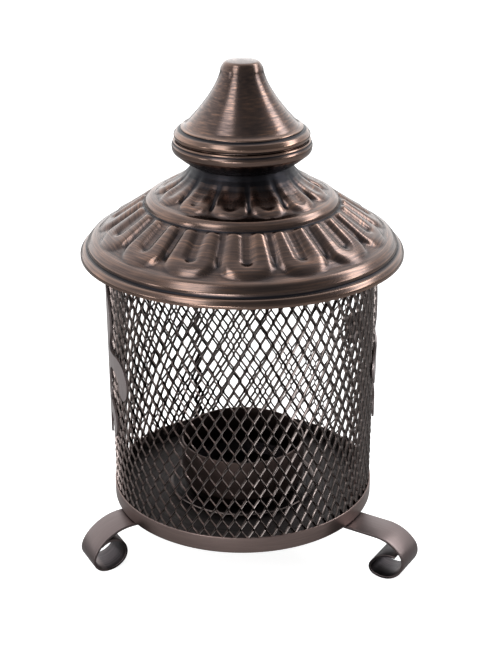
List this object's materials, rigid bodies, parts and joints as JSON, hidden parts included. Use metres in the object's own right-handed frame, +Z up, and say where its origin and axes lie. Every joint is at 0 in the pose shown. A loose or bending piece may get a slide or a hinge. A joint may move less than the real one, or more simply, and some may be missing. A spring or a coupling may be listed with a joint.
{
  "type": "chiminea",
  "caption": "Tabletop mesh chiminea: a scroll-footed pan, an expanded-metal screen with side scrollwork, a lift-out fuel cup and a lift-off lid with a finial.",
  "frame": {"origin": "centre of the footprint, on the surface the feet stand on", "axes": "+Z up, -Y to the front between the two front feet, +X to the viewer's right"},
  "size_m": [0.2036, 0.2035, 0.297],
  "materials": {
    "antique_copper": "brushed antique copper finish on steel: dark brown with rust brown brush lines and near-black recesses",
    "dark_bronze": "dark bronze finish on expanded steel, bare copper tone on the strand edges",
    "satin_brown_steel": "satin grey-brown on flat steel strap",
    "pan_grey": "satin brown band with a dull grey floor",
    "zinc_steel": "dull zinc plating"
  },
  "bodies": {
    "base": {"base_pan": "pan_grey", "cup_dish": "antique_copper", "dish_nut": "zinc_steel", "dish_screw": "zinc_steel", "dish_washer": "zinc_steel", "foot_back": "satin_brown_steel", "foot_back_rivet_inner": "satin_brown_steel", "foot_back_rivet_outer": "satin_brown_steel", "foot_left": "satin_brown_steel", "foot_left_rivet_inner": "satin_brown_steel", "foot_left_rivet_outer": "satin_brown_steel", "foot_right": "satin_brown_steel", "foot_right_rivet_inner": "satin_brown_steel", "foot_right_rivet_outer": "satin_brown_steel", "mesh_screen": "dark_bronze", "ornament_left": "antique_copper", "ornament_right": "antique_copper", "top_hoop": "antique_copper"},
    "lid": {"lid_roof": "antique_copper", "lid_seat_ring": "dark_bronze", "finial_bell": "antique_copper", "finial_bowl": "antique_copper", "finial_rod": "zinc_steel", "lid_washer": "zinc_steel", "lid_nut": "zinc_steel"},
    "cup": {"candle_cup": "antique_copper"}
  },
  "joints": [
    {"name": "lid_lift", "type": "slide", "parent": "base", "child": "lid", "axis": [0, 0, 1], "range_m": [0, 0.1]},
    {"name": "cup_lift", "type": "slide", "parent": "base", "child": "cup", "axis": [0, 0, 1], "range_m": [0, 0.15]}
  ]
}
